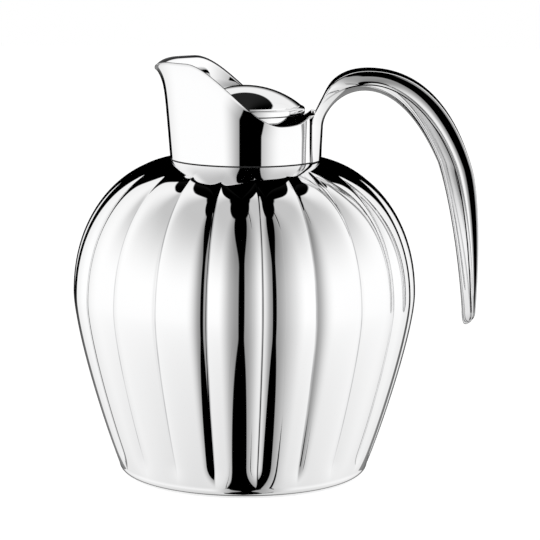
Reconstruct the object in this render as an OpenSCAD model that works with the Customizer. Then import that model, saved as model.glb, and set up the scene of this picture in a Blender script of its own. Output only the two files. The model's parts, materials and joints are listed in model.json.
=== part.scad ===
// Insulated serving jug with a lobed body, a cylindrical pouring neck, a loop handle
// and a lift-out stopper with a domed press button. Millimetres, +Z up.
// The origin is the centre of the rest plane, the handle points to +X and the spout to -X.

/* [Body] */
// Largest radius, over the crests of the lobes
belly_r = 84; // [80:1:88]
// Height of the largest radius
belly_z = 89.3; // [86:0.1:92]
// Radius of the body just above its base edge
base_r = 61.5; // [60:0.5:63]
// Number of lobes round the body
lobes = 20; // [16:1:24]
// Depth of the creases between the lobes
lobe_depth = 1.9; // [1:0.1:2.5]
// Share of the lobes' crown that is a plain curve; the rest is flat on top and steep at the creases
lobe_round = 0.55; // [0.4:0.05:1]
// Sheet thickness of the body
shell_wall = 0.8; // [0.6:0.1:1]

/* [Neck] */
// Outer radius of the neck at its joint with the body
neck_r = 36.4; // [36:0.1:37]
// Height of the joint between body and neck
joint_z = 155.3; // [155:0.1:156]
// Lowest height of the pouring rim, beside the handle
rim_low_z = 174.1; // [172:0.1:176]
// Highest height of the pouring rim, beside the spout
rim_high_z = 203.2; // [200:0.1:206]
// How far the rim drops from its highest point to the tip of the spout
tip_drop = 4.6; // [3:0.1:6]
// How far the spout side of the neck leans out
spout_lean = 3.7; // [3:0.1:4.5]
// How far the lip of the spout flares beyond the lean
spout_lip = 3; // [2:0.1:5]
// How far the sheet turns outward at the very rim
rim_flare = 0.3; // [0:0.05:0.4]
// How far the very edge of the spout curls over
lip_curl = 1.5; // [0:0.1:1.8]
// Sheet thickness of the neck
neck_wall = 0.9; // [0.7:0.1:1]

/* [Handle] */
// Half width of the plate that wraps the neck
root_half = 17; // [15:0.5:18]
// Half width of the handle just above its tip
tail_half = 8.5; // [8:0.5:10]
// Width of the face towards the hand, as a share of the handle's back
arris_share = 0.87; // [0.8:0.01:1]
// How deep the sides run before they turn into the back, as a share of its depth
back_corner = 0.9; // [0.8:0.01:0.95]

/* [Flask] */
// Outer radius of the vacuum flask
flask_r = 56; // [54:0.5:57]
// Outer radius of the flask's neck
flask_neck_r = 33.5; // [33:0.1:33.8]
// Gap between the two flask walls
vacuum_gap = 2.7; // [2:0.1:3]
// Sheet thickness of both flask walls
flask_wall = 0.8; // [0.6:0.1:0.9]

/* [Stopper] */
// Outer radius of the stopper's rounded flange
flange_r = 29; // [28.8:0.1:29.4]
// Height of the top of the flange
flange_z = 181; // [180.8:0.1:181.4]
// Height of the top of the press button
dome_z = 191; // [190:0.5:192]
// How far the press button travels down
press_travel = 4; // [3:0.5:4]

/* [Hidden] */
$fn = 96;
eps = 0.01;

// Heights of the parts that stack up inside, from the rest plane
shell_bottom_z = 1;
base_corner = 3.6;
plate_z = 1.2;
plate_top_z = 3.6;
ring_top_z = 6;
flask_bottom_z = 8.2;
flask_lip_z = 152.3;
seat_z = 157;
groove_z = 146.05;
groove_half = 1.25;

// Flask outline: radius of its bottom corner, radius, height and turn of its shoulder
flask_corner = 10;
flask_shoulder = 20;
shoulder_z = 115;
shoulder_turn = 64;

// Heights inside the stopper: valve disc, valve seat, chamber, its ceiling and the button above
disc_z = 142.6;
valve_seat_z = 146;
chamber_z = 149;
seal_z = 151.5;
column_z = 158;
ceiling_z = 163;
ceiling_top_z = 165.5;
column_top_z = 170;
carrier_z = 176.2;
carrier_top_z = 185.8;
barrel_top_z = carrier_z - press_travel - 1.2;
sleeve_top_z = 177.4;

// Radii of the stopper, of the bore that it sits in and of the parts inside it
bore_r = 27.3;
skirt_r = 29.1;
plug_r = 27;
barrel_r = 27.6;
sleeve_r = 28.4;
cup_r = 26;
seal_groove_r = 25.5;
chamber_r = 24.6;
mouth_r = 19;
column_r = 7;
stem_r = 4;
stem_tail_r = 2.5;
dome_r = 27;
dome_wall = 0.8;
disc_r = 22;
hub_r = 16.8;

// Clearances: a running fit, a gap between pieces that only stand near each other, and the
// open line between the body and the neck
fit_gap = 0.06;
free_gap = 0.3;
joint_gap = 0.4;

// Base: plate, foot pad and fasteners
plate_r = 56.6;
pad_r = 49.9;
pad_top_z = 2.2;
pad_grooves = [25, 33, 41];
base_screw_count = 3;
base_screw_circle = 53.5;
base_screw_r = 1.5;
screw_head_r = 2.8;

// Facets: points across one lobe, rings up the body and points round the neck
lobe_steps = 6;
shell_rings = 18;
neck_steps = 72;
neck_rings = 9;
handle_steps = 7;
crown_steps = 10;
side_steps = 4;
corner_steps = 4;

function lerp(a, b, t) = a + (b - a) * t;
function smooth(t) = let (c = max(0, min(1, t))) c * c * (3 - 2 * c);
function bezier(p, t) =
    pow(1 - t, 3) * p[0] + 3 * pow(1 - t, 2) * t * p[1] + 3 * (1 - t) * t * t * p[2] + t * t * t * p[3];
// Points along an arc in the plane of a turned profile
function arc(cx, cz, r, a0, a1, n) =
    [for (i = [0 : n]) [cx + r * cos(lerp(a0, a1, i / n)), cz + r * sin(lerp(a0, a1, i / n))]];

// Upright tube between two heights
module tube(outer, inner, z0, z1) {
    difference() {
        translate([0, 0, z0]) cylinder(r = outer, h = z1 - z0);
        translate([0, 0, z0 - 1]) cylinder(r = inner, h = z1 - z0 + 2);
    }
}

// Closed skin over rings of points that all have the same length; the last ring may join the first
function skin_faces(rings, sides, looped) = [
    for (i = [0 : rings - (looped ? 1 : 2)]) for (j = [0 : sides - 1])
        let (k = (j + 1) % sides, n = (i + 1) % rings)
        each [
            [i * sides + j, n * sides + j, n * sides + k],
            [i * sides + j, n * sides + k, i * sides + k]
        ]
];

// ---- Body ----

// Crest profile: a corner arc, a nearly straight taper and a round shoulder
lower_curve = [
    [base_r, shell_bottom_z + base_corner],
    [base_r + 6.2, shell_bottom_z + base_corner + 14.1],
    [belly_r, belly_z - 17.9],
    [belly_r, belly_z]
];
upper_curve = [
    [belly_r, belly_z],
    [belly_r, belly_z + 36.3],
    [neck_r + 26.6, joint_z - 4],
    [neck_r, joint_z]
];
function shell_profile(n) = concat(
    arc(base_r - base_corner, shell_bottom_z + base_corner, base_corner, -90, -20, 3),
    [for (i = [0 : n - 1]) bezier(lower_curve, i / n)],
    [for (i = [0 : n]) bezier(upper_curve, i / n)]
);
// The creases fade out at the base edge and under the neck
function crease(z) =
    lobe_depth * smooth((z - 4) / 12) * smooth((joint_z - 0.6 - z) / 7);
// From 0 on a crest to 1 in a crease; the lobes are flatter on top than a circle's arc
function lobe_dip(a) =
    let (u = 2 * (a * lobes / 360 + 0.5 - floor(a * lobes / 360 + 0.5)) - 1)
    lobe_round * pow(u, 2) + (1 - lobe_round) * pow(u, 4);
function shell_radius(p, a, inset) = p[0] - crease(p[1]) * p[0] / belly_r * lobe_dip(a) - inset;
function shell_ring_points(p, inset) =
    let (n = lobes * lobe_steps)
    [for (j = [0 : n - 1]) let (a = 360 * j / n + 180 / lobes)
        [shell_radius(p, a, inset) * cos(a), shell_radius(p, a, inset) * sin(a), p[1]]];

module outer_shell() {
    outside = shell_profile(shell_rings / 2);
    n = len(outside);
    inside = [for (i = [n - 1 : -1 : 0])
        [outside[i][0], min(joint_z, max(shell_bottom_z + shell_wall, outside[i][1]
            - shell_wall * smooth((outside[i][1] - belly_z) / 60) * (i == n - 1 ? 0 : 1)))]];
    rings = concat(
        [for (p = outside) shell_ring_points(p, 0)],
        [for (p = inside) shell_ring_points(p, shell_wall)]
    );
    points = [for (r = rings) each r];
    color("gainsboro")
    polyhedron(points, skin_faces(len(rings), lobes * lobe_steps, true), convexity = 6);
}

module shell_ring() {
    outer_r = 59.2;
    inner_r = 49;
    color("lightslategray")
    difference() {
        tube(outer_r, inner_r, plate_top_z + eps, ring_top_z);
        base_screw_places() cylinder(r = base_screw_r + 0.02, h = 20, $fn = 32);
    }
}

module base_screw_places() {
    for (i = [0 : base_screw_count - 1])
        rotate([0, 0, i * 360 / base_screw_count])
            translate([base_screw_circle, 0, 0]) children();
}

module base_plate() {
    hole_gap = 0.2;
    sink_z = 2.5;
    color("dimgray")
    difference() {
        translate([0, 0, plate_z]) cylinder(r = plate_r, h = plate_top_z - plate_z);
        cylinder(r = pad_r + 0.1, h = pad_top_z);
        base_screw_places() cylinder(r = base_screw_r + hole_gap, h = 20, $fn = 32);
        base_screw_places() cylinder(r = screw_head_r + hole_gap, h = sink_z, $fn = 32);
    }
}

// Flat pad with shallow ring grooves, which the jug stands on
module foot_pad() {
    bevel = 0.6;
    depth = 0.5;
    top_half = 1;
    floor_half = 0.7;
    color("black")
    rotate_extrude()
        polygon(concat(
            [[0, 0]],
            [for (r = pad_grooves) each [
                [r - top_half, 0], [r - floor_half, depth], [r + floor_half, depth], [r + top_half, 0]
            ]],
            [[pad_r - bevel, 0], [pad_r, bevel], [pad_r, pad_top_z], [0, pad_top_z]]
        ));
}

module base_screws() {
    head_h = 1.2;
    slot_w = 0.8;
    slot_h = 0.6;
    shank_h = 5.4;
    color("silver")
    base_screw_places() difference() {
        union() {
            translate([0, 0, plate_z + 0.1]) cylinder(r = screw_head_r, h = head_h, $fn = 32);
            translate([0, 0, plate_z + 0.2]) cylinder(r = base_screw_r, h = shank_h, $fn = 32);
        }
        translate([-slot_w / 2, -screw_head_r, 0]) cube([slot_w, 2 * screw_head_r, plate_z + slot_h]);
    }
}

// Foam ring that the flask stands on
module flask_cushion() {
    inner_r = 20;
    outer_r = 44;
    bevel = 1.2;
    color("darkslategray")
    rotate_extrude()
        polygon([
            [inner_r, plate_top_z], [outer_r, plate_top_z], [outer_r, flask_bottom_z - bevel],
            [outer_r - bevel, flask_bottom_z], [inner_r + bevel, flask_bottom_z],
            [inner_r, flask_bottom_z - bevel]
        ]);
}

// ---- Vacuum flask ----

// Half profile of a flask wall: flat bottom, round corner, straight side, shoulder and neck
function flask_path(inset, neck_inset, top_z) =
    let (r = flask_r - inset, n = flask_neck_r - neck_inset, b = flask_bottom_z + inset,
        c = flask_corner, s = flask_shoulder - inset, turn = shoulder_turn,
        f = (r - s + s * cos(turn) - n) / (1 - cos(turn)),
        z = shoulder_z + s * sin(turn) + f * sin(turn))
    concat(
        [[0, b]],
        arc(r - c, b + c, c, -90, 0, 10),
        arc(r - s, shoulder_z, s, 0, turn, 12),
        arc(n + f, z, f, 180 + turn, 180, 10),
        [[n, top_z]]
    );
function reversed(p) = [for (i = [len(p) - 1 : -1 : 0]) p[i]];

module flask_outer_wall() {
    color("slategray")
    rotate_extrude()
        polygon(concat(
            flask_path(0, 0, flask_lip_z - flask_wall),
            reversed(flask_path(flask_wall, flask_wall, flask_lip_z - flask_wall))
        ));
}

module flask_inner_wall() {
    start = flask_wall + vacuum_gap;
    lip = flask_lip_z - flask_wall;
    color("silver")
    rotate_extrude()
        polygon(concat(
            flask_path(start, start, lip),
            [[flask_neck_r, lip], [flask_neck_r, flask_lip_z]],
            reversed(flask_path(start + flask_wall, start + flask_wall, flask_lip_z))
        ));
}

module vacuum_seal_cap() {
    cap_r = 8;
    bevel = 0.8;
    bottom_z = flask_bottom_z - 1.6;
    color("darkgray")
    rotate_extrude()
        polygon([[0, bottom_z], [cap_r - bevel, bottom_z], [cap_r, bottom_z + bevel],
            [cap_r, flask_bottom_z], [0, flask_bottom_z]]);
}

// ---- Neck ----

// Thin ring in the joint line between the body and the neck
module joint_gasket() {
    color("black")
    tube(neck_r - 0.35, neck_r - neck_wall + 0.05, joint_z, joint_z + joint_gap);
}

// Ring inside the joint, with a flange under the shoulder of the body
module collar_clamp() {
    inner_r = 34;
    flange_outer_r = 38.6;
    wall_r = neck_r - shell_wall - free_gap;
    bottom_z = joint_z - 5.3;
    top_z = joint_z + 1.3;
    color("gray")
    rotate_extrude()
        polygon([[inner_r, bottom_z], [flange_outer_r, bottom_z], [flange_outer_r, bottom_z + 2],
            [wall_r, bottom_z + 2.6], [wall_r, top_z], [inner_r, top_z]]);
}

// Angle from the handle, from 0 to 180 on both sides
function from_handle(a) = abs(a > 180 ? 360 - a : a);
function spout_weight(a, k) = pow(max(0, -cos(a)), k);
function rim_z(a) =
    let (h = from_handle(a), tip = max(0, (h - 150) / 30), root = max(0, min(1, (50 - h) / 22)))
    lerp(rim_low_z, rim_high_z, smooth((h - 58) / 76)) - tip_drop * tip * tip + 3.9 * root * root;
function neck_radius(a, s) =
    neck_r + spout_lean * spout_weight(a, 2) * s + spout_lip * spout_weight(a, 12) * pow(s, 8);
flare_h = 8;
lip_curl_h = 1.7;
// The outward turn below the rim, away from the handle, and the curl of the spout's edge
function flare(a, z) =
    let (below = rim_z(a) - z, h = from_handle(a), near = max(0, 1 - below / flare_h),
        roll = 1 - sqrt(1 - 0.97 * pow(max(0, 1 - below / lip_curl_h), 2)))
    rim_flare * near * near * smooth((h - 32) / 25) + lip_curl * roll * smooth((h - 70) / 60);
function neck_point(a, s, inset) =
    let (z = lerp(joint_z + joint_gap, rim_z(a), s), r = neck_radius(a, s) + flare(a, z) - inset)
    [r * cos(a), r * sin(a), z];

module neck_collar() {
    steps = [for (i = [0 : neck_rings]) 1 - pow(1 - i / neck_rings, 2.2)];
    rings = concat(
        [for (s = steps) [for (j = [0 : neck_steps - 1]) neck_point(360 * j / neck_steps, s, 0)]],
        [for (i = [neck_rings : -1 : 0])
            [for (j = [0 : neck_steps - 1]) neck_point(360 * j / neck_steps, steps[i], neck_wall)]]
    );
    color("gainsboro")
    polyhedron([for (r = rings) each r], skin_faces(len(rings), neck_steps, true), convexity = 6);
}

// Funnel in the neck: a skirt inside the flask's mouth, a bore for the stopper, and a wide top
module pouring_ring() {
    skirt_z = 141;
    body_r = 33.2;
    top_r = neck_r - neck_wall - 0.2;
    top_z = 162;
    color("whitesmoke")
    rotate_extrude()
        polygon([
            [bore_r, skirt_z], [skirt_r, skirt_z],
            [skirt_r, groove_z - groove_half], [skirt_r - 1, groove_z - groove_half],
            [skirt_r - 1, groove_z + groove_half], [skirt_r, groove_z + groove_half],
            [skirt_r, flask_lip_z], [body_r, flask_lip_z], [body_r, seat_z + 0.4],
            [top_r, top_z - 1.6], [top_r, top_z], [top_r - 0.6, top_z],
            [sleeve_r + 0.5, seat_z], [bore_r, seat_z]
        ]);
}

// O-ring between the skirt of the pouring ring and the flask's mouth
module pouring_ring_seal() {
    cord_r = 0.5;
    color("dimgray")
    rotate_extrude()
        translate([skirt_r - 0.46, groove_z]) circle(r = cord_r, $fn = 24);
}

// ---- Handle ----

// Three guide curves in the plane of symmetry: the face towards the hand, the side edge and
// the outer face. Every list holds the same four stretches: root, rise, arch and tail.
inner_guide = [
    [[37.3, 155.7], [37.4, 161], [37.6, 166], [37.9, 171.8]],
    [[37.9, 171.8], [38.4, 179], [46.5, 189], [58, 189]],
    [[58, 189], [74, 189], [86, 172], [93.9, 154.6]],
    [[93.9, 154.6], [99, 140], [104.5, 112], [107, 82]]
];
edge_guide = [
    [[33, 155.7], [33, 161], [33, 168], [33, 174]],
    [[33, 174], [34, 181.5], [43, 192.6], [60, 192.6]],
    [[60, 192.6], [78, 192.6], [94, 174], [101.6, 153.6]],
    [[101.6, 153.6], [106.5, 140], [110, 112], [111.2, 82]]
];
outer_guide = [
    [[36.6, 155.7], [36.6, 162], [36.6, 170], [36.6, 178.1]],
    [[36.6, 178.1], [36.9, 190], [44, 199.5], [60, 199.5]],
    [[60, 199.5], [86, 199.5], [102, 180], [110.3, 152.6]],
    [[110.3, 152.6], [114, 141], [115.2, 112], [113.4, 82]]
];
tip_point = [108.6, 74.8];
tip_steps = 6;

function guide(curves, t) =
    let (i = min(3, floor(t)))
    bezier(curves[i], t - i);
// Along the handle: 0 root, 1 top of the neck, 2 arch, 3 back, 4 start of the tip
function handle_half(t) =
    let (q = max(0, (t - 1) / 3))
    lerp(root_half, tail_half, q * (2 - q) * smooth(q / 0.25));
function edge_half(t) = lerp(0.65, 0.3, smooth(t / 2));

// The outlines below are in shares of the depth and half width of a cross-section
crown = [for (j = [0 : crown_steps]) let (c = cos(180 * j / crown_steps)) [1 - c * c, c]];
// The side of the back leans out from the arris, runs flat and turns round a tight corner
lean_depth = 0.42;
back_half = concat(
    [for (j = [0 : side_steps - 1])
        let (d = back_corner * j / side_steps, lean = max(0, 1 - d / lean_depth))
        [d, 1 - (1 - arris_share) * lean * lean]],
    [for (j = [0 : corner_steps])
        let (a = 90 * j / corner_steps)
        [lerp(back_corner, 1, sqrt(sin(a))), sqrt(cos(a))]]
);
back = concat(back_half, [for (j = [len(back_half) - 2 : -1 : 0]) [back_half[j][0], -back_half[j][1]]]);
// The plate that wraps the neck is thin on both sides, so its back is a crown too
plate_back = [for (p = back) let (c = p[1]) [1 - c * c, c]];

// One cross-section: a crowned face to the hand, an arris on each side and a broad back
function handle_section(t, shrink, shift) =
    let (e = guide(edge_guide, t), i = guide(inner_guide, t), o = guide(outer_guide, t),
        across = (i - o) / norm(i - o), w = handle_half(t) * shrink, grown = smooth((t - 1) / 0.5),
        edge_in = e + across * edge_half(t) * shrink, edge_out = e - across * edge_half(t) * shrink,
        face_in = e + (i - e) * shrink, face_out = e + (o - e) * shrink,
        inside = [for (c = crown) [c[0], c[1] * lerp(1, arris_share, grown)]],
        outside = lerp(plate_back, back, grown))
    concat(
        [for (q = inside)
            let (p = lerp(edge_in, face_in, q[0]))
            [p[0] + shift[0], w * q[1], p[1] + shift[1]]],
        [for (k = [len(outside) - 1 : -1 : 0])
            let (q = outside[k], p = lerp(edge_out, face_out, q[0]))
            [p[0] + shift[0], w * q[1], p[1] + shift[1]]]
    );
// The tip is a rounded tongue: a is 0 where it starts and 90 at its point
function tip_section(a) =
    let (reach = tip_point - guide(edge_guide, 4))
    handle_section(4, cos(a), [reach[0] * (1 - cos(a)), reach[1] * sin(a)]);

module handle() {
    rings = concat(
        [for (i = [0 : 4 * handle_steps]) handle_section(i / handle_steps, 1, [0, 0])],
        [for (i = [1 : tip_steps]) tip_section(84 * i / tip_steps)]
    );
    n = len(rings);
    sides = len(rings[0]);
    caps = [
        [for (j = [sides - 1 : -1 : 0]) j],
        [for (j = [0 : sides - 1]) (n - 1) * sides + j]
    ];
    color("gainsboro")
    polyhedron([for (r = rings) each r],
        concat([for (f = skin_faces(n, sides, false)) reversed(f)], caps), convexity = 8);
}

// ---- Stopper ----

module pour_slot() {
    slot_half = 14;
    translate([-40, -slot_half, seat_z + 0.4]) cube([20, 2 * slot_half, ceiling_z - seat_z - 0.4]);
}

// Plug with the valve seat below, the chamber above it, and a cup that holds the button
module stopper_body() {
    color("dimgray")
    difference() {
        union() {
            translate([0, 0, valve_seat_z]) cylinder(r = plug_r, h = seat_z - valve_seat_z + 0.3);
            translate([0, 0, seat_z + 0.2]) cylinder(r = barrel_r, h = barrel_top_z - seat_z - 0.2);
        }
        translate([0, 0, valve_seat_z - 1]) cylinder(r = mouth_r, h = 10);
        tube(chamber_r, column_r, chamber_z, ceiling_z);
        tube(cup_r, column_r, ceiling_top_z, barrel_top_z + 1);
        translate([0, 0, column_top_z]) cylinder(r = column_r + eps, h = 10);
        translate([0, 0, chamber_z]) cylinder(r = column_r + eps, h = column_z - chamber_z);
        cylinder(r = stem_r + fit_gap, h = 200, $fn = 64);
        tube(40, seal_groove_r, seal_z - 1.5, seal_z + 1.5);
        pour_slot();
    }
}

module stopper_sleeve() {
    color("gainsboro")
    difference() {
        tube(sleeve_r, barrel_r + 0.05, seat_z + 0.4, sleeve_top_z);
        pour_slot();
    }
}

// Rounded ring round the button, which rests on the sleeve
module stopper_flange() {
    corner = 1.2;
    foot = 0.6;
    bottom_z = sleeve_top_z + 0.1;
    bore = dome_r + free_gap + 0.05;
    color("gainsboro")
    rotate_extrude()
        polygon(concat(
            [[bore, bottom_z]],
            arc(flange_r - foot, bottom_z + foot, foot, -90, 0, 6),
            arc(flange_r - corner, flange_z - corner, corner, 0, 90, 8),
            [[bore, flange_z]]
        ));
}

// Lip seal with two edges that touch the bore
module stopper_seal() {
    back = seal_groove_r + 0.05;
    lip = bore_r - 0.05;
    edge = lip - 0.35;
    waist = lip - 0.65;
    half_h = 1.4;
    lip_half = 0.6;
    color("gray")
    rotate_extrude()
        polygon([
            [back, seal_z - half_h], [edge, seal_z - half_h], [lip, seal_z - lip_half], [waist, seal_z],
            [lip, seal_z + lip_half], [edge, seal_z + half_h], [back, seal_z + half_h]
        ]);
}

module stem_seal() {
    color("black")
    tube(column_r - 0.2, stem_r + 0.05, column_top_z, column_top_z + 1.2);
}

// ---- Press button and valve ----

module press_dome() {
    wall = dome_wall;
    rise = dome_z - flange_z - 0.6;
    ball_r = (dome_r * dome_r + rise * rise) / (2 * rise);
    edge_a = acos(dome_r / ball_r);
    inner_a = acos((dome_r - wall) / (ball_r - wall));
    skirt_z = carrier_z - 0.2;
    color("gainsboro")
    rotate_extrude()
        polygon(concat(
            arc(0, dome_z - ball_r, ball_r, 90, edge_a, 20),
            [[dome_r, skirt_z], [dome_r - wall, skirt_z]],
            arc(0, dome_z - ball_r, ball_r - wall, inner_a, 90, 20)
        ));
}

// Disc with a hub for the stem and ribs under the dome
module dome_carrier() {
    rim_r = dome_r - dome_wall - 0.1;
    disc_h = 2.4;
    rib_l = 16;
    rib_w = 1.6;
    rib_h = 3.2;
    socket_h = 14.2;
    color("dimgray")
    difference() {
        union() {
            translate([0, 0, carrier_z]) cylinder(r = rim_r, h = disc_h);
            translate([0, 0, carrier_z]) cylinder(r = column_r, h = carrier_top_z - carrier_z);
            for (a = [0 : 60 : 300]) rotate([0, 0, a])
                translate([column_r - 1, -rib_w / 2, carrier_z + disc_h - 0.1]) cube([rib_l, rib_w, rib_h]);
        }
        translate([0, 0, column_top_z]) cylinder(r = stem_r + 0.02, h = socket_h, $fn = 64);
    }
}

module button_spring() {
    turns = 4;
    coil_r = 9.5;
    wire_r = 0.5;
    sides = 8;
    steps = 20;
    z0 = ceiling_top_z + wire_r + 0.05;
    z1 = carrier_z - wire_r - 0.05;
    n = turns * steps;
    rings = [for (i = [0 : n]) let (a = 360 * i / steps)
        [for (j = [0 : sides - 1]) let (b = 360 * j / sides, r = coil_r + wire_r * cos(b))
            [r * cos(a), r * sin(a), lerp(z0, z1, i / n) + wire_r * sin(b)]]];
    caps = [
        [for (j = [sides - 1 : -1 : 0]) j],
        [for (j = [0 : sides - 1]) n * sides + j]
    ];
    color("silver")
    polyhedron([for (r = rings) each r],
        concat([for (f = skin_faces(n + 1, sides, false)) reversed(f)], caps), convexity = 8);
}

module valve_stem() {
    tail = 4.2;
    height = 41.4;
    color("silver")
    union() {
        translate([0, 0, disc_z]) cylinder(r = stem_r, h = height, $fn = 64);
        translate([0, 0, disc_z - tail]) cylinder(r = stem_tail_r, h = tail + 0.1, $fn = 48);
    }
}

module valve_disc() {
    disc_h = 1.4;
    hub_h = 3;
    color("dimgray")
    difference() {
        union() {
            translate([0, 0, disc_z]) cylinder(r = disc_r, h = disc_h);
            translate([0, 0, disc_z]) cylinder(r = hub_r, h = hub_h);
        }
        translate([0, 0, disc_z - 1]) cylinder(r = stem_r + 0.02, h = 10, $fn = 64);
    }
}

// Ring that the disc presses against the mouth of the stopper
module valve_seal() {
    bottom_z = disc_z + 1.42;
    top_z = valve_seat_z - 0.15;
    inner_r = hub_r + 0.2;
    bevel = 0.7;
    color("gray")
    rotate_extrude()
        polygon([
            [inner_r, bottom_z], [disc_r, bottom_z], [disc_r, top_z - bevel], [disc_r - bevel, top_z],
            [inner_r + 2 * bevel, top_z], [inner_r, top_z - bevel]
        ]);
}

module valve_nut() {
    height = 3.35;
    corner_r = 6.4;
    color("silver")
    difference() {
        translate([0, 0, disc_z - height - 0.05]) cylinder(r = corner_r, h = height, $fn = 6);
        translate([0, 0, disc_z - height - 1]) cylinder(r = stem_tail_r + 0.02, h = 6, $fn = 48);
    }
}

outer_shell();
shell_ring();
base_plate();
base_screws();
foot_pad();
flask_cushion();
flask_outer_wall();
flask_inner_wall();
vacuum_seal_cap();
joint_gasket();
collar_clamp();
neck_collar();
pouring_ring();
pouring_ring_seal();
handle();
stopper_body();
stopper_sleeve();
stopper_flange();
stopper_seal();
stem_seal();
press_dome();
dome_carrier();
button_spring();
valve_stem();
valve_disc();
valve_seal();
valve_nut();
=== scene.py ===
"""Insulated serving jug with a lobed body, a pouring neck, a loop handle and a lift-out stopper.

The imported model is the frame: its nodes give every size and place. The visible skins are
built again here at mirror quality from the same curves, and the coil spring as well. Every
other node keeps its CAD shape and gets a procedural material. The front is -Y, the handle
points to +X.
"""
import json
import math

import bpy
import numpy as np
from mathutils import Matrix, Vector


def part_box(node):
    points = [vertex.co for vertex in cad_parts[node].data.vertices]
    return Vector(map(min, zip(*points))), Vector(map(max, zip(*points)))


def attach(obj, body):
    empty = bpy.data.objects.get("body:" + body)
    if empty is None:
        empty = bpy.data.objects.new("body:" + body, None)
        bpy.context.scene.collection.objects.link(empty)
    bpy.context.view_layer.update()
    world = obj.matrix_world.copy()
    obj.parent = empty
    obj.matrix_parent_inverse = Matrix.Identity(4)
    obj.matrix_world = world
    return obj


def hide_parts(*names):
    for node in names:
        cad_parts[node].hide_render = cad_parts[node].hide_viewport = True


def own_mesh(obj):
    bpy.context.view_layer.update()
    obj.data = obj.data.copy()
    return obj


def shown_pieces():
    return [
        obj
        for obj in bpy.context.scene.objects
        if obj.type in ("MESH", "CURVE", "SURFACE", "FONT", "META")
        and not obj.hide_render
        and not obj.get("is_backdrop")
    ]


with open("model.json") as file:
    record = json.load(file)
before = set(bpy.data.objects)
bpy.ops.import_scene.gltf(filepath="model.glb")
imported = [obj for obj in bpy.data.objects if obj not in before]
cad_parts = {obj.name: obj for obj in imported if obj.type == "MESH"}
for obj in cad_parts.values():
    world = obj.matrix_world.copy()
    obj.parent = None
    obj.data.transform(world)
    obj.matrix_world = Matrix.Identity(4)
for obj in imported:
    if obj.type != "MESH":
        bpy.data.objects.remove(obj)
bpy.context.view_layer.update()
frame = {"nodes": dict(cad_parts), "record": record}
MM = 0.001


# ---- Sizes: millimetres, read from the frame where a node's box gives them ----

def node_mm(name):
    """Lowest and highest corner of a CAD node, in millimetres."""
    low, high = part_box(name)
    return low / MM, high / MM


shell_low, shell_high = node_mm("outer_shell")
neck_low, neck_high = node_mm("neck_collar")
flange_low, flange_high = node_mm("stopper_flange")
dome_low, dome_high = node_mm("press_dome")

BELLY_R = shell_high.x
BELLY_Z = 89.3
BASE_R = 61.5
BASE_CORNER = 3.6
LOBES = 20
LOBE_DEPTH = 1.9
LOBE_ROUND = 0.55
VALLEY_FILLET = 0.05
SHELL_WALL = 0.8
SHELL_BOTTOM_Z = shell_low.z
JOINT_Z = shell_high.z

NECK_R = 36.4
NECK_WALL = 0.9
NECK_BOTTOM_Z = neck_low.z
RIM_LOW_Z = 174.1
RIM_HIGH_Z = 203.2
RIM_RISE_FROM = 58
RIM_RISE_TO = 134
TIP_DROP = 4.6
TIP_FROM = 150
ROOT_LIFT = 3.9
SPOUT_LEAN = 3.7
SPOUT_LIP = 3
RIM_FLARE = 0.3
RIM_FLARE_H = 8
LIP_CURL = 1.3
LIP_CURL_H = 1.7

ROOT_HALF = 17
TAIL_HALF = 8.5
ARRIS_SHARE = 0.87
SIDE_SHARE = 0.42
ARCH_SIDE_SHARE = 0.7
BACK_CORNER = 0.9
BACK_EASE = 0.008
TIP_POINT = np.array([108.4, 74.8])

FLANGE_R = flange_high.x
FLANGE_FOOT_Z = flange_low.z
FLANGE_Z = flange_high.z
DOME_R = dome_high.x
DOME_Z = dome_high.z
DOME_SKIRT_Z = dome_low.z

COIL_R = 9.5
WIRE_R = 0.5
COIL_TURNS = 4


# ---- Curves ----

def lerp(a, b, t):
    return a + (b - a) * t


def smooth(t):
    c = np.clip(t, 0, 1)
    return c * c * (3 - 2 * c)


def bezier(points, t):
    p = np.array(points, float)
    t = np.asarray(t, float)[..., None]
    return ((1 - t) ** 3 * p[0] + 3 * (1 - t) ** 2 * t * p[1]
            + 3 * (1 - t) * t * t * p[2] + t ** 3 * p[3])


def arc(cx, cz, radius, a0, a1, steps):
    """Points along an arc of a turned profile, from angle a0 to a1 in degrees."""
    a = np.radians(np.linspace(a0, a1, steps + 1))
    return np.stack([cx + radius * np.cos(a), cz + radius * np.sin(a)], axis=-1)


# ---- Meshes ----

def make_mesh(name, points_mm, faces, crease_deg):
    """A smooth-shaded mesh object whose edges stay sharp where its faces turn more than crease_deg."""
    mesh = bpy.data.meshes.new(name)
    mesh.from_pydata((np.asarray(points_mm) * MM).tolist(), [], faces)
    mesh.validate()
    mesh.polygons.foreach_set("use_smooth", [True] * len(mesh.polygons))
    mesh.set_sharp_from_angle(angle=math.radians(crease_deg))
    mesh.update()
    piece = bpy.data.objects.new(name, mesh)
    bpy.context.scene.collection.objects.link(piece)
    return piece


def skin(rings, looped):
    """Points and quads of a skin over rings of equally many points; looped joins last to first."""
    count, sides = rings.shape[:2]
    faces = []
    for i in range(count if looped else count - 1):
        here, above = i * sides, (i + 1) % count * sides
        for j in range(sides):
            k = (j + 1) % sides
            faces.append((here + j, here + k, above + k, above + j))
    return rings.reshape(-1, 3), faces


def around(steps):
    """Angles of the columns of a turned skin, in degrees, starting at the handle."""
    return np.arange(steps) * 360.0 / steps


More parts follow.
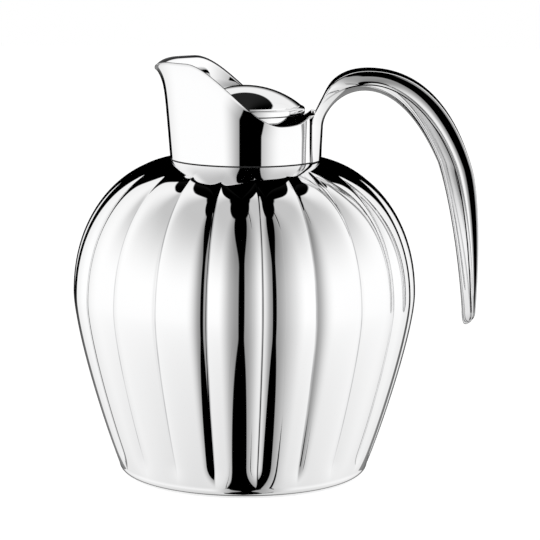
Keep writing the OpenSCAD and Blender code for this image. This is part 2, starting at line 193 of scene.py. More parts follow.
def turned(name, profile):
    """A solid of revolution over a closed outline of (radius, height) points, counter-clockwise."""
    steps = 256
    profile = np.asarray(profile, float)
    a = np.radians(around(steps))
    on_axis = profile[:, 0] < 1e-6
    points, faces, first = [], [], []
    for (r, z), pole in zip(profile, on_axis):
        first.append(len(points))
        points += [(0, 0, z)] if pole else [(r * c, r * s, z) for c, s in zip(np.cos(a), np.sin(a))]
    count = len(profile)
    for i in range(count):
        n = (i + 1) % count
        if on_axis[i] and on_axis[n]:
            continue
        for j in range(steps):
            k = (j + 1) % steps
            if on_axis[i]:
                faces.append((first[i], first[n] + k, first[n] + j))
            elif on_axis[n]:
                faces.append((first[i] + j, first[i] + k, first[n]))
            else:
                faces.append((first[i] + j, first[i] + k, first[n] + k, first[n] + j))
    return make_mesh(name, points, faces, crease_deg=40)


# ---- Body ----

LOWER_CURVE = [
    [BASE_R, SHELL_BOTTOM_Z + BASE_CORNER],
    [BASE_R + 6.2, SHELL_BOTTOM_Z + BASE_CORNER + 14.1],
    [BELLY_R, BELLY_Z - 17.9],
    [BELLY_R, BELLY_Z],
]
UPPER_CURVE = [
    [BELLY_R, BELLY_Z],
    [BELLY_R, BELLY_Z + 36.3],
    [NECK_R + 26.6, JOINT_Z - 4],
    [NECK_R, JOINT_Z],
]


def crease_depth(z):
    """The creases fade out at the base edge and under the neck."""
    return LOBE_DEPTH * smooth((z - 4) / 12) * smooth((JOINT_Z - 0.6 - z) / 7)


def lobe_dip(angle):
    """0 on the crest of a lobe and almost 1 in the small fillet of the valley between two lobes."""
    turn = angle * LOBES / 360
    u = np.abs(2 * (turn + 0.5 - np.floor(turn + 0.5)) - 1)
    start = 1 - VALLEY_FILLET
    over = np.clip(u - start, 0, None)
    inside = np.minimum(u, start)
    dip = LOBE_ROUND * inside ** 2 + (1 - LOBE_ROUND) * inside ** 4
    slope = 2 * LOBE_ROUND * start + 4 * (1 - LOBE_ROUND) * start ** 3
    return dip + slope * (over - over ** 2 / (2 * VALLEY_FILLET))


def body_rings(profile, angles, inset):
    r, z = profile[:, 0, None], profile[:, 1, None]
    radius = r - crease_depth(z) * r / BELLY_R * lobe_dip(angles)[None, :] - inset
    a = np.radians(angles)[None, :]
    return np.stack([radius * np.cos(a), radius * np.sin(a), np.broadcast_to(z, radius.shape)], axis=-1)


def body_angles():
    """Columns round the body, closer together beside every valley and in its fillet."""
    half = np.linspace(0, 1, 11)[:-1] ** 0.72
    half = np.concatenate([half, [1 - VALLEY_FILLET, 1 - VALLEY_FILLET / 2]])
    part = np.concatenate([half, [1], 2 - half[:0:-1]])
    return np.concatenate([(i + part / 2) * 360 / LOBES for i in range(LOBES)])


def make_body_skin():
    base = arc(BASE_R - BASE_CORNER, SHELL_BOTTOM_Z + BASE_CORNER, BASE_CORNER, -90, 0, 14)[:-1]
    lower = bezier(LOWER_CURVE, np.linspace(0, 1, 49)[:-1])
    upper = bezier(UPPER_CURVE, np.linspace(0, 1, 65))
    outside = np.concatenate([base, lower, upper])
    inside = outside[::-4].copy()
    lift = SHELL_WALL * smooth((inside[:, 1] - BELLY_Z) / 60)
    lift[0] = 0
    inside[:, 1] = np.clip(inside[:, 1] - lift, SHELL_BOTTOM_Z + SHELL_WALL, JOINT_Z)
    angles = body_angles()
    rings = np.concatenate([body_rings(outside, angles, 0), body_rings(inside, angles, SHELL_WALL)])
    return make_mesh("body_skin", *skin(rings, True), crease_deg=40)


# ---- Neck ----

def from_handle(angle):
    """Angle from the handle, 0 to 180 degrees on both sides."""
    return np.abs((angle + 180) % 360 - 180)


def rim_z(angle):
    h = from_handle(angle)
    up = smooth((h - RIM_RISE_FROM) / (RIM_RISE_TO - RIM_RISE_FROM))
    tip = np.clip((h - TIP_FROM) / (180 - TIP_FROM), 0, None)
    root = np.clip((50 - h) / 22, 0, 1)
    return lerp(RIM_LOW_Z, RIM_HIGH_Z, up) - TIP_DROP * tip ** 2 + ROOT_LIFT * root ** 2


def neck_radius(angle, s):
    front = np.clip(-np.cos(np.radians(angle)), 0, None)
    return NECK_R + SPOUT_LEAN * front ** 2 * s + SPOUT_LIP * front ** 12 * s ** 8


def neck_ring(angles, s, inset, rise):
    """One ring of the neck: s runs from its joint to the rim, rise is added to the height."""
    a = np.radians(angles)
    h = from_handle(angles)
    z = lerp(NECK_BOTTOM_Z, rim_z(angles) - NECK_WALL / 2, s) + rise
    below = np.clip(rim_z(angles) - z, 0, None)
    flare = RIM_FLARE * np.clip(1 - below / RIM_FLARE_H, 0, 1) ** 2 * smooth((h - 32) / 25)
    roll = 1 - np.sqrt(1 - 0.97 * np.clip(1 - below / LIP_CURL_H, 0, 1) ** 2)
    curl = LIP_CURL * roll * smooth((h - 70) / 60)
    r = neck_radius(angles, s) + flare + curl - inset
    return np.stack([r * np.cos(a), r * np.sin(a), z], axis=-1)


def make_neck_skin():
    angles = around(360)
    heights = 1 - (1 - np.linspace(0, 1, 60)) ** 2.2
    half = NECK_WALL / 2
    rings = [neck_ring(angles, s, 0, 0) for s in heights]
    for b in np.radians(np.linspace(0, 180, 11)[1:-1]):
        rings.append(neck_ring(angles, 1, half - half * math.cos(b), half * math.sin(b)))
    rings += [neck_ring(angles, s, NECK_WALL, 0) for s in heights[::-1]]
    return make_mesh("neck_skin", *skin(np.array(rings), True), crease_deg=50)


# ---- Handle ----

INNER_GUIDE = [
    [[37.3, 155.7], [37.4, 161], [37.6, 166], [37.9, 171.8]],
    [[37.9, 171.8], [38.4, 179], [46.5, 189], [58, 189]],
    [[58, 189], [74, 189], [86, 172], [93.9, 154.6]],
    [[93.9, 154.6], [99, 140], [104.5, 112], [107, 82]],
]
EDGE_GUIDE = [
    [[33, 155.7], [33, 161], [33, 168], [33, 174]],
    [[33, 174], [34, 181.5], [43, 192.6], [60, 192.6]],
    [[60, 192.6], [78, 192.6], [94, 174], [101.6, 153.6]],
    [[101.6, 153.6], [106.5, 140], [110, 112], [111.2, 82]],
]
OUTER_GUIDE = [
    [[36.6, 155.7], [36.6, 162], [36.6, 170], [36.6, 178.1]],
    [[36.6, 178.1], [36.9, 190], [44, 199.5], [60, 199.5]],
    [[60, 199.5], [86, 199.5], [102, 180], [110.3, 152.6]],
    [[110.3, 152.6], [114, 141], [115.2, 112], [113.4, 82]],
]


def guide(curves, t):
    i = min(3, int(t))
    return bezier(curves[i], t - i)


def handle_half(t):
    """Half width along the handle: 0 root, 1 top of the neck, 2 arch, 3 back, 4 start of the tip."""
    q = max(0, (t - 1) / 3)
    return lerp(ROOT_HALF, TAIL_HALF, q * (2 - q) * smooth(q / 0.25))


def back_outline(steps, side_share):
    """Half of the handle's back in shares of its depth and half width, from the arris to the middle.

    The side leans out from the arris, runs flat, and turns round a tight corner to a flat back.
    """
    side = np.linspace(0, BACK_CORNER, steps // 2, endpoint=False)
    lean = (1 - ARRIS_SHARE) * np.clip(1 - side / side_share, 0, None) ** 2
    ease = BACK_EASE * np.clip((side - side_share) / (BACK_CORNER - side_share), 0, None) ** 2
    turn = np.linspace(0, math.pi / 2, steps - steps // 2)
    depth = BACK_CORNER + (1 - BACK_CORNER) * np.sin(turn) ** 0.5
    width = (1 - BACK_EASE) * np.clip(np.cos(turn), 0, 1) ** 0.5
    return np.stack([np.concatenate([side, depth]), np.concatenate([1 - lean - ease, width])], axis=-1)


def handle_section(t, across_steps, shrink=1.0, shift=(0.0, 0.0)):
    """A crowned face to the hand, an arris on each side and a broad back, in the order of the rings.

    At the root both faces are thin crowns that wrap the neck; they grow into the full section.
    """
    edge, inner, outer = guide(EDGE_GUIDE, t), guide(INNER_GUIDE, t), guide(OUTER_GUIDE, t)
    across = (inner - outer) / np.linalg.norm(inner - outer)
    half_edge = lerp(0.65, 0.3, smooth(t / 2)) * shrink
    half = handle_half(t) * shrink
    grown = smooth((t - 1) / 0.5)
    c = np.cos(np.linspace(0, math.pi, across_steps))
    plate = np.stack([1 - c ** 2, c], axis=-1)
    side_share = lerp(ARCH_SIDE_SHARE, SIDE_SHARE, smooth((t - 1.9) / 0.9))
    back = back_outline(across_steps // 2 + 1, side_share)
    back = np.concatenate([back[:-1], (back * [1, -1])[::-1]])
    faces = []
    for side, face, depth, shape, order in (
            (1, inner, shrink, plate * [1, lerp(1, ARRIS_SHARE, grown)], 1),
            (-1, outer, shrink ** 3, lerp(plate, back, grown), -1)):
        start = edge + side * across * half_edge
        p = start + (edge + (face - edge) * depth - start) * shape[:, :1] + np.array(shift)
        faces.append(np.stack([p[:, 0], half * shape[:, 1], p[:, 1]], axis=-1)[::order])
    return np.concatenate(faces)


def make_handle_skin():
    across_steps = 41
    rings = [handle_section(t, across_steps) for t in np.linspace(0, 4, 181)]
    reach = TIP_POINT - guide(EDGE_GUIDE, 4)
    for a in np.radians(np.linspace(0, 89, 15)[1:]):
        shift = (reach[0] * (1 - math.cos(a)), reach[1] * math.sin(a))
        rings.append(handle_section(4, across_steps, math.cos(a), shift))
    rings = np.array(rings)[::-1]
    points, faces = skin(rings, False)
    sides = rings.shape[1]
    last = (len(rings) - 1) * sides
    faces.append(tuple(range(sides - 1, -1, -1)))
    faces.append(tuple(range(last, last + sides)))
    return make_mesh("handle_skin", points, faces, crease_deg=20)


# ---- Stopper and press button ----

def make_spring_skin():
    """A round-wire coil in the place of the button's spring."""
    low, high = node_mm("button_spring")
    steps, sides = 48, 14
    count = COIL_TURNS * steps
    b = np.radians(around(sides))
    rings = []
    for i in range(count + 1):
        a = math.tau * i / steps
        r = COIL_R + WIRE_R * np.cos(b)
        z = lerp(low.z + WIRE_R, high.z - WIRE_R, i / count) + WIRE_R * np.sin(b)
        rings.append(np.stack([r * math.cos(a), r * math.sin(a), z], axis=-1))
    points, faces = skin(np.array(rings), False)
    faces = [tuple(reversed(face)) for face in faces]
    last = count * sides
    faces.append(tuple(range(sides)))
    faces.append(tuple(range(last + sides - 1, last - 1, -1)))
    return make_mesh("spring_skin", points, faces, crease_deg=60)


def make_dome_skin():
    wall = 0.8
    rise = DOME_Z - FLANGE_Z - 0.6
    ball_r = (DOME_R ** 2 + rise ** 2) / (2 * rise)
    edge = math.degrees(math.acos(DOME_R / ball_r))
    inner = math.degrees(math.acos((DOME_R - wall) / (ball_r - wall)))
    outside = arc(0, DOME_Z - ball_r, ball_r, edge, 90, 40)
    inside = arc(0, DOME_Z - ball_r, ball_r - wall, 90, inner, 20)
    outside[-1, 0] = inside[0, 0] = 0
    skirt = [[DOME_R - wall, DOME_SKIRT_Z], [DOME_R, DOME_SKIRT_Z]]
    return turned("dome_skin", np.concatenate([skirt, outside, inside]))


def make_flange_skin():
    bore, foot, corner = DOME_R + 0.35, 0.6, 1.2
    outline = np.concatenate([
        [[bore, FLANGE_FOOT_Z]],
        arc(FLANGE_R - foot, FLANGE_FOOT_Z + foot, foot, -90, 0, 8),
        arc(FLANGE_R - corner, FLANGE_Z - corner, corner, 0, 90, 12),
        arc(bore + 0.25, FLANGE_Z - 0.25, 0.25, 90, 180, 5),
    ])
    return turned("flange_skin", outline)


# ---- Node graphs ----

class Graph:
    """Short calls for building a node tree."""

    def __init__(self, tree):
        self.tree = tree
        tree.nodes.clear()

    def node(self, kind, inputs=(), **settings):
        made = self.tree.nodes.new(kind)
        for key, value in settings.items():
            setattr(made, key, value)
        for key, value in dict(inputs).items():
            self.feed(made.inputs[key], value)
        return made

    def feed(self, socket, value):
        if isinstance(value, bpy.types.NodeSocket):
            self.tree.links.new(value, socket)
        else:
            socket.default_value = value

    def math(self, operation, *values):
        return self.node("ShaderNodeMath", dict(enumerate(values)), operation=operation).outputs[0]

    def rise(self, value, start, end):
        """0 at start, 1 at end and smooth between them."""
        made = self.node("ShaderNodeMapRange", {"Value": value, "From Min": start, "From Max": end},
                         interpolation_type="SMOOTHSTEP")
        return made.outputs["Result"]

    def noise(self, scale, detail, stretch=(1, 1, 1), rough=0.5):
        """Noise in the object's own metres, stretched by a factor along each axis."""
        where = self.node("ShaderNodeTexCoord").outputs["Object"]
        mapped = self.node("ShaderNodeMapping", {"Vector": where, "Scale": stretch}).outputs["Vector"]
        made = self.node("ShaderNodeTexNoise", {
            "Vector": mapped, "Scale": scale, "Detail": detail, "Roughness": rough})
        return made.outputs["Fac"]

    def between(self, value, low, high):
        """A 0 to 1 value moved to the range from low to high."""
        made = self.node("ShaderNodeMapRange", {"Value": value, "To Min": low, "To Max": high})
        return made.outputs["Result"]

    def blend(self, share, start, end):
        """From the start colour, which may be a socket, to the end colour by a share from 0 to 1."""
        made = self.node("ShaderNodeMix", {"Factor": share}, data_type="RGBA")
        self.feed(made.inputs["A"], start if isinstance(start, bpy.types.NodeSocket) else (*start, 1))
        self.feed(made.inputs["B"], (*end, 1))
        return made.outputs["Result"]

    def axes(self, vector):
        """The X, Y and Z of a vector, by name."""
        return self.node("ShaderNodeSeparateXYZ", {"Vector": vector}).outputs

    def bump(self, height, strength, depth):
        made = self.node("ShaderNodeBump", {"Height": height, "Strength": strength, "Distance": depth})
        return made.outputs["Normal"]


# ---- Materials: one for each slot of the record, and two kinds of polished steel with painted shade lines ----

def new_material(name):
    """A material and the empty graph of its nodes."""
    made = bpy.data.materials.new(name)
    made.use_nodes = True
    return made, Graph(made.node_tree)


def surface(name, build):
    """A material whose Principled shader build(graph) describes with a dictionary of its inputs."""
    made, graph = new_material(name)
    inputs = build(graph)
    shader = graph.node("ShaderNodeBsdfPrincipled", inputs)
    graph.node("ShaderNodeOutputMaterial", {"Surface": shader.outputs["BSDF"]})
    return made


def polished_steel(g):
    """Mirror polish: hair-thin wipe marks in the gloss and hardly any relief."""
    wipe = g.noise(900, 3, (0.25, 0.25, 1.0))
    cloud = g.noise(14, 2)
    marks = g.math("MULTIPLY", wipe, cloud)
    return {
        "Base Color": g.blend(cloud, (0.89, 0.89, 0.895), (0.93, 0.93, 0.93)),
        "Metallic": 1.0,
        "Roughness": g.between(marks, 0.012, 0.05),
        "Normal": g.bump(wipe, 0.02, 2e-6),
    }


# Painted shade: grey in the creases and dark along the rim. Crease widths are shares of a lobe, line
# widths are millimetres.
CREASE_SHADE_GREY = (0.32, 0.32, 0.33)
CREASE_CORE = 0.006
CREASE_EDGE = 0.022
RIM_SHADE_DARK = (0.02, 0.02, 0.022)
RIM_LINE = 0.28
SPOUT_LINE = 1.15
LINE_BLUR = 0.08


def crease_shaded_steel(g):
    """Mirror polish with a fine grey line of painted shade along each crease, which fades out at the foot
    and the neck.
    """
    inputs = polished_steel(g)
    place = g.axes(g.node("ShaderNodeTexCoord").outputs["Object"])
    turn = g.math("MULTIPLY", g.math("ARCTAN2", place["Y"], place["X"]), LOBES / math.tau)
    off = g.math("ABSOLUTE", g.math("SUBTRACT", g.math("FRACT", turn), 0.5))
    line = g.math("MULTIPLY", g.rise(off, CREASE_EDGE, CREASE_CORE), g.noise(60, 2))
    ends = g.math("MULTIPLY", g.rise(place["Z"], 6 * MM, 30 * MM), g.rise(place["Z"], 152 * MM, 135 * MM))
    # painted shade: the creases are darkened towards grey
    inputs["Base Color"] = g.blend(g.math("MULTIPLY", line, ends), inputs["Base Color"], CREASE_SHADE_GREY)
    return inputs


def rim_shaded_steel(g):
    """Mirror polish that ends in a dark line of painted shade along the rim, broad inside the spout."""
    inputs = polished_steel(g)
    place = g.axes(g.node("ShaderNodeTexCoord").outputs["Object"])
    facing = g.axes(g.node("ShaderNodeNewGeometry").outputs["Normal"])
    turn = g.math("DEGREES", g.math("ABSOLUTE", g.math("ARCTAN2", place["Y"], place["X"])))
    tip = g.math("DIVIDE", g.math("SUBTRACT", turn, TIP_FROM), 180 - TIP_FROM)
    tip = g.math("MAXIMUM", tip, 0.0)
    top = g.between(g.rise(turn, RIM_RISE_FROM, RIM_RISE_TO), RIM_LOW_Z * MM, RIM_HIGH_Z * MM)
    top = g.math("SUBTRACT", top, g.math("MULTIPLY", g.math("MULTIPLY", tip, tip), TIP_DROP * MM))
    outward = g.math("ADD", g.math("MULTIPLY", place["X"], facing["X"]),
                     g.math("MULTIPLY", place["Y"], facing["Y"]))
    spout_side = g.math("MULTIPLY", g.rise(turn, 70.0, 115.0), g.rise(outward, 0.0, -0.004))
    width = g.between(spout_side, RIM_LINE * MM, SPOUT_LINE * MM)
    below = g.math("SUBTRACT", g.math("SUBTRACT", top, place["Z"]), width)
    line = g.math("MULTIPLY", g.rise(below, LINE_BLUR * MM, -LINE_BLUR * MM), g.rise(turn, 45.0, 55.0))
    # painted shade: a dark line along the rim, broader inside the spout
    inputs["Base Color"] = g.blend(line, inputs["Base Color"], RIM_SHADE_DARK)
    return inputs


def plain_steel(g):
    """Turned and brushed sheet: fine rings round the axis."""
    rings = g.noise(60, 4, (0.5, 0.5, 45.0), 0.7)
    cloud = g.noise(30, 3)
    return {
        "Base Color": g.blend(cloud, (0.54, 0.545, 0.56), (0.64, 0.645, 0.66)),
        "Metallic": 1.0,
        "Roughness": g.between(rings, 0.22, 0.42),
        "Normal": g.bump(rings, 0.25, 2e-5),
    }


def screw_steel(g):
    """Bright fastener steel with tumbling marks."""
    dents = g.noise(1600, 3)
    return {
        "Base Color": g.blend(dents, (0.62, 0.62, 0.63), (0.74, 0.74, 0.75)),
        "Metallic": 1.0,
        "Roughness": g.between(dents, 0.18, 0.34),
        "Normal": g.bump(dents, 0.15, 2e-5),
    }


def dark_plastic(g):
    """Moulded plastic with a fine spark-eroded grain."""
    grain = g.noise(3200, 3, rough=0.6)
    cloud = g.noise(40, 2)
    return {
        "Base Color": g.blend(cloud, (0.030, 0.031, 0.034), (0.052, 0.053, 0.057)),
        "Roughness": g.between(grain, 0.38, 0.55),
        "Normal": g.bump(grain, 0.35, 3e-5),
    }


def black_rubber(g):
    """Soft matte rubber with a little bloom."""
    grain = g.noise(2200, 4, rough=0.65)
    bloom = g.noise(55, 3)
    return {
        "Base Color": g.blend(bloom, (0.017, 0.017, 0.018), (0.038, 0.038, 0.038)),
        "Roughness": g.between(bloom, 0.72, 0.88),
        "Normal": g.bump(grain, 0.4, 5e-5),
    }


def grey_foam_rubber(g):
    """Closed-cell foam: small pits all over."""
    cells = g.node("ShaderNodeTexVoronoi", {
        "Vector": g.node("ShaderNodeTexCoord").outputs["Object"], "Scale": 900.0}).outputs["Distance"]
    cloud = g.noise(70, 3)
    return {
        "Base Color": g.blend(cloud, (0.09, 0.095, 0.10), (0.15, 0.155, 0.165)),
        "Roughness": g.between(cells, 0.8, 0.95),
        "Normal": g.bump(cells, 0.6, 2e-4),
    }


def silicone(g):
    """Translucent grey silicone with a satin skin."""
    skin_grain = g.noise(1500, 2)
    cloud = g.noise(60, 2)
    return {
        "Base Color": g.blend(cloud, (0.40, 0.41, 0.42), (0.50, 0.51, 0.52)),
        "Roughness": g.between(skin_grain, 0.42, 0.55),
        "Subsurface Weight": 0.15,
        "Subsurface Scale": 0.002,
        "Normal": g.bump(skin_grain, 0.2, 2e-5),
    }


FINISHES = {
    build.__name__: surface(build.__name__, build)
    for build in (polished_steel, crease_shaded_steel, rim_shaded_steel, plain_steel, screw_steel, dark_plastic,
                  black_rubber, grey_foam_rubber, silicone)
}


def dress(piece, slot_name):
    piece.data.materials.clear()
    piece.data.materials.append(FINISHES[slot_name])


# ---- Camera ----

CAMERA_DISTANCE = 1150
CAMERA_TARGET = Vector((0, 0, 111))
CAMERA_ELEVATION = math.radians(8.9)
CAMERA_AROUND = math.radians(3)
CAMERA_YAW = math.radians(0.629)
CAMERA_PITCH = math.radians(-0.535)
CAMERA_ROLL = math.radians(0.335)
CAMERA_LENS = 156.2


def make_camera():
    """The camera stands a little round towards the handle, and the jug sits left of the centre."""
    flat = Vector((-math.sin(CAMERA_AROUND), math.cos(CAMERA_AROUND), 0))
    right = Vector((math.cos(CAMERA_AROUND), math.sin(CAMERA_AROUND), 0))
    forward = flat * math.cos(CAMERA_ELEVATION) - Vector((0, 0, math.sin(CAMERA_ELEVATION)))
    up = right.cross(forward)
    place = CAMERA_TARGET - forward * CAMERA_DISTANCE
    turned_forward = forward * math.cos(CAMERA_YAW) + right * math.sin(CAMERA_YAW)
    turned_right = right * math.cos(CAMERA_YAW) - forward * math.sin(CAMERA_YAW)
    look = turned_forward * math.cos(CAMERA_PITCH) + up * math.sin(CAMERA_PITCH)
    top = up * math.cos(CAMERA_PITCH) - turned_forward * math.sin(CAMERA_PITCH)
    side = turned_right * math.cos(CAMERA_ROLL) + top * math.sin(CAMERA_ROLL)
    top = top * math.cos(CAMERA_ROLL) - turned_right * math.sin(CAMERA_ROLL)
    data = bpy.data.cameras.new("camera")
    data.sensor_width = 36
    data.lens = CAMERA_LENS
    data.clip_start, data.clip_end = 0.05, 20
    camera = bpy.data.objects.new("camera", data)
    bpy.context.scene.collection.objects.link(camera)
    turn = Matrix((side, top, -look)).transposed()
    camera.matrix_world = Matrix.Translation(place * MM) @ turn.to_4x4()
    bpy.context.scene.camera = camera


# ---- Studio: light walls, a dark ceiling, a dark slot beside the camera and dark far behind ----

# Slots, turns and heights are in degrees, screen distances in metres.
WIDE_SLOT = {"slot_left": -8.5, "slot_right": 25.0}
NARROW_SLOT = {"slot_left": -1.5, "slot_right": 8.0}
WORLD_LIGHT = {**WIDE_SLOT, "behind_top": 110.0}
WALL_LIGHT = 1.1
WALL_LEFT = 0.33
WALL_RIGHT = 0.36
SLOT_BLUR = 0.8
BEHIND_TURN = 148.5
FRONT_TURNS = (-22.5, 33)
REAR_TURNS = (145, 215)
SCREEN_HEIGHT = 84


def studio_light(g, direction, slot_left, slot_right, slot_low=-90.0, behind_top=20.0):
    """Light from a direction: walls, less a slot, the ceiling, the table's edge and a dark gap behind.

    Degrees round the horizon start at the camera's side and grow to the right.
    """
    facing = g.node("ShaderNodeVectorRotate", {"Vector": direction, "Angle": -CAMERA_AROUND},
                    rotation_type="Z_AXIS").outputs["Vector"]
    axes = g.axes(facing)
    turn = g.math("DEGREES", g.math("ARCTAN2", axes["X"], g.math("MULTIPLY", axes["Y"], -1.0)))
    height = g.math("DEGREES", g.math("ARCSINE", axes["Z"]))
    aside = g.math("ABSOLUTE", turn)
    high = g.math("MULTIPLY", g.rise(height, 5.0, 62.0), g.rise(aside, 140.0, 90.0))
    light = g.math("ADD",
                   g.math("MULTIPLY", g.rise(turn, 0.0, -1.0),
                          g.between(g.rise(aside, 2.0, 34.0), WALL_LEFT, WALL_LIGHT)),
                   g.math("MULTIPLY", g.rise(turn, -1.0, 0.0),
                          g.between(g.rise(aside, 5.0, 58.0), WALL_RIGHT, WALL_LIGHT)))
    for fade in (g.between(g.rise(aside, 110.0, 152.0), 1.0, 0.86),
                 g.between(high, 1.0, 0.55),
                 g.between(g.rise(height, 0.0, -75.0), 1.0, 0.68)):
        light = g.math("MULTIPLY", light, fade)
    for dark in (dark_slot(g, turn, height, slot_left, slot_right, slot_low),
                 dark_ceiling(g, aside, height),
                 dark_table(g, aside, height),
                 dark_behind(g, aside, height, behind_top)):
        light = g.math("MULTIPLY", light, g.math("SUBTRACT", 1.0, dark))
    return light


def dark_slot(g, turn, height, left, right, low):
    """The gap beside the camera, wider high up and low down."""
    spread = g.math("ADD", g.math("MULTIPLY", g.rise(height, 25.0, 70.0), 14.0),
                    g.math("MULTIPLY", g.rise(height, -25.0, -56.0), 15.0))
    left_edge = g.math("SUBTRACT", left, spread)
    right_edge = g.math("MULTIPLY_ADD", spread, 0.8, right)
    slot = g.math("MULTIPLY", g.rise(g.math("SUBTRACT", turn, left_edge), -SLOT_BLUR, SLOT_BLUR),
                  g.rise(g.math("SUBTRACT", turn, right_edge), SLOT_BLUR, -SLOT_BLUR))
    return g.math("MULTIPLY", slot, g.rise(height, low - 4.0, low))


def dark_ceiling(g, aside, height):
    """The dark above the walls, which comes lower down behind the jug."""
    front_edge = g.between(g.rise(aside, 5.0, 72.0), 66.0, 79.0)
    drop = g.math("ADD", g.math("MULTIPLY", g.rise(aside, 95.0, 145.0), 22.0),
                  g.math("MULTIPLY", g.rise(aside, 130.0, 180.0), 14.0))
    edge = g.math("SUBTRACT", front_edge, drop)
    depth = g.between(g.rise(aside, 135.0, 175.0), 1.0, 0.98)
    return g.math("MULTIPLY", g.rise(g.math("SUBTRACT", height, edge), -1.0, 1.0), depth)


def dark_table(g, aside, height):
    """The dark under the camera."""
    edge = g.between(g.rise(aside, 12.0, 60.0), -54.0, -91.0)
    return g.rise(g.math("SUBTRACT", height, edge), 1.0, -1.0)


def dark_behind(g, aside, height, top):
    """The dark behind the jug, which draws its outlines."""
    reach = g.math("MULTIPLY", g.between(g.rise(height, -24.0, -8.0), 0.7, 1.0),
                   g.rise(height, top + 7.0, top - 7.0))
    return g.math("MULTIPLY", g.rise(aside, BEHIND_TURN, BEHIND_TURN + 1.5), reach)


def make_world():
    world = bpy.data.worlds.new("studio")
    bpy.context.scene.world = world
    world.use_nodes = True
    g = Graph(world.node_tree)
    light = studio_light(g, g.node("ShaderNodeTexCoord").outputs["Generated"], **WORLD_LIGHT)
    backdrop = g.node("ShaderNodeLightPath").outputs["Is Camera Ray"]
    seen = g.node("ShaderNodeMix", {"Factor": backdrop, "A": light, "B": 1.0}, data_type="FLOAT")
    shade = g.node("ShaderNodeBackground", {"Color": (1, 1, 1, 1), "Strength": seen.outputs["Result"]})
    g.node("ShaderNodeOutputWorld", {"Surface": shade.outputs["Background"]})


def screen_mesh(name, distance, turns):
    """A part of a sphere round the origin, over a range of turns."""
    columns, rows = 16, 24
    points, faces = [], []
    for i in range(columns + 1):
        a = math.radians(lerp(turns[0], turns[1], i / columns) - 90) + CAMERA_AROUND
        for j in range(rows + 1):
            b = math.radians(lerp(-SCREEN_HEIGHT, SCREEN_HEIGHT, j / rows))
            points.append((distance * math.cos(b) * math.cos(a), distance * math.cos(b) * math.sin(a),
                           distance * math.sin(b)))
    for i in range(columns):
        for j in range(rows):
            first = i * (rows + 1) + j
            faces.append((first, first + 1, first + rows + 2, first + rows + 1))
    mesh = bpy.data.meshes.new(name)
    mesh.from_pydata(points, [], faces)
    return mesh


def make_screen(name, distance, turns, receivers, shown, top=1.0):
    """A curved screen that only the receivers see. It adds what the shown light has over the world's.

    It spans a range of turns, and fades out above top, the sine of a height.
    """
    mesh = screen_mesh(name, distance, turns)
    screen = bpy.data.objects.new(name, mesh)
    bpy.context.scene.collection.objects.link(screen)
    made, g = new_material(name)
    place = g.node("ShaderNodeVectorMath", {0: g.node("ShaderNodeNewGeometry").outputs["Position"]},
                   operation="NORMALIZE").outputs["Vector"]
    more = g.math("SUBTRACT", studio_light(g, place, **shown), studio_light(g, place, **WORLD_LIGHT))
    low_down = g.rise(g.axes(place)["Z"], top + 0.15, top)
    strength = g.math("MULTIPLY", low_down, g.math("MAXIMUM", more, 0.0))
    glow = g.node("ShaderNodeEmission", {"Strength": strength})
    clear = g.node("ShaderNodeBsdfTransparent")
    both = g.node("ShaderNodeAddShader", {0: glow.outputs["Emission"], 1: clear.outputs["BSDF"]})
    g.node("ShaderNodeOutputMaterial", {"Surface": both.outputs[0]})
    made.cycles.emission_sampling = "NONE"
    mesh.materials.append(made)
    screen.visible_camera = False
    screen.visible_diffuse = False
    screen.visible_shadow = False
    screen.light_linking.receiver_collection = receivers
    screen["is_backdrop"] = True


def group(name, pieces):
    made = bpy.data.collections.new(name)
    for piece in pieces:
        made.objects.link(piece)
    return made


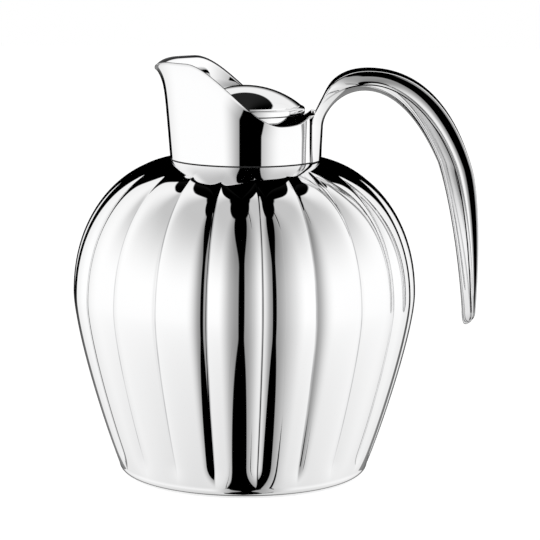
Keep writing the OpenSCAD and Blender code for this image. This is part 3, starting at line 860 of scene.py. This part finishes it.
def make_floor():
    """A pale round floor that fades into the white surroundings, seen from above only."""
    bpy.ops.mesh.primitive_circle_add(vertices=96, radius=3, fill_type="TRIFAN")
    floor = bpy.context.object
    floor.name = "floor"
    made, g = new_material("pale_floor")
    speckle = g.noise(400, 2)
    grey = g.blend(speckle, (0.52, 0.52, 0.52), (0.55, 0.55, 0.55))
    matte = g.node("ShaderNodeBsdfDiffuse", {"Color": grey})
    glow = g.node("ShaderNodeEmission", {"Strength": 0.8})
    both = g.node("ShaderNodeAddShader", {0: matte.outputs["BSDF"], 1: glow.outputs["Emission"]})
    clear = g.node("ShaderNodeBsdfTransparent")
    below = g.node("ShaderNodeNewGeometry").outputs["Backfacing"]
    shown = g.node("ShaderNodeMixShader", {"Fac": below, 1: both.outputs[0], 2: clear.outputs["BSDF"]})
    g.node("ShaderNodeOutputMaterial", {"Surface": shown.outputs["Shader"]})
    floor.data.materials.append(made)
    floor.visible_glossy = False
    floor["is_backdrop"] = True


def make_studio(body, neck, handle):
    """Every piece but the neck sees a narrow slot; every piece but the body sees light high up behind."""
    make_world()
    make_floor()
    most = group("sees_front_screen", [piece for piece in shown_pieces() if piece not in (neck, handle)])
    own = group("sees_handle_screen", [handle])
    rest = group("sees_rear_screen", [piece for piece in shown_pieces() if piece != body])
    make_screen("front_screen", 30.0, FRONT_TURNS, most, NARROW_SLOT)
    make_screen("handle_screen", 35.0, FRONT_TURNS, own, {**NARROW_SLOT, "slot_low": -14.0}, 0.1)
    make_screen("rear_screen", 40.0, REAR_TURNS, rest, WIDE_SLOT)
    bpy.context.scene.view_settings.view_transform = "Standard"


# ---- The object ----

slots = {part["node"]: part["material_slot"] for part in frame["record"]["subparts"]}
for node, piece in frame["nodes"].items():
    dress(piece, slots[node])

make_camera()
body_skin = make_body_skin()
neck_skin = make_neck_skin()
handle_skin = make_handle_skin()
flange_skin = make_flange_skin()
dome_skin = make_dome_skin()
spring_skin = make_spring_skin()
SKINS = [
    (body_skin, "jug", "outer_shell"),
    (neck_skin, "jug", "neck_collar"),
    (handle_skin, "jug", "handle"),
    (flange_skin, "stopper", "stopper_flange"),
    (dome_skin, "button", "press_dome"),
    (spring_skin, "button", "button_spring"),
]
for piece, body, node in SKINS:
    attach(piece, body)
    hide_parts(node)
    dress(piece, slots[node])
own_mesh(spring_skin)
# The body gets painted shade in its creases, the neck a painted dark line of shade along its rim.
dress(body_skin, "crease_shaded_steel")
dress(neck_skin, "rim_shaded_steel")
make_studio(body_skin, neck_skin, handle_skin)
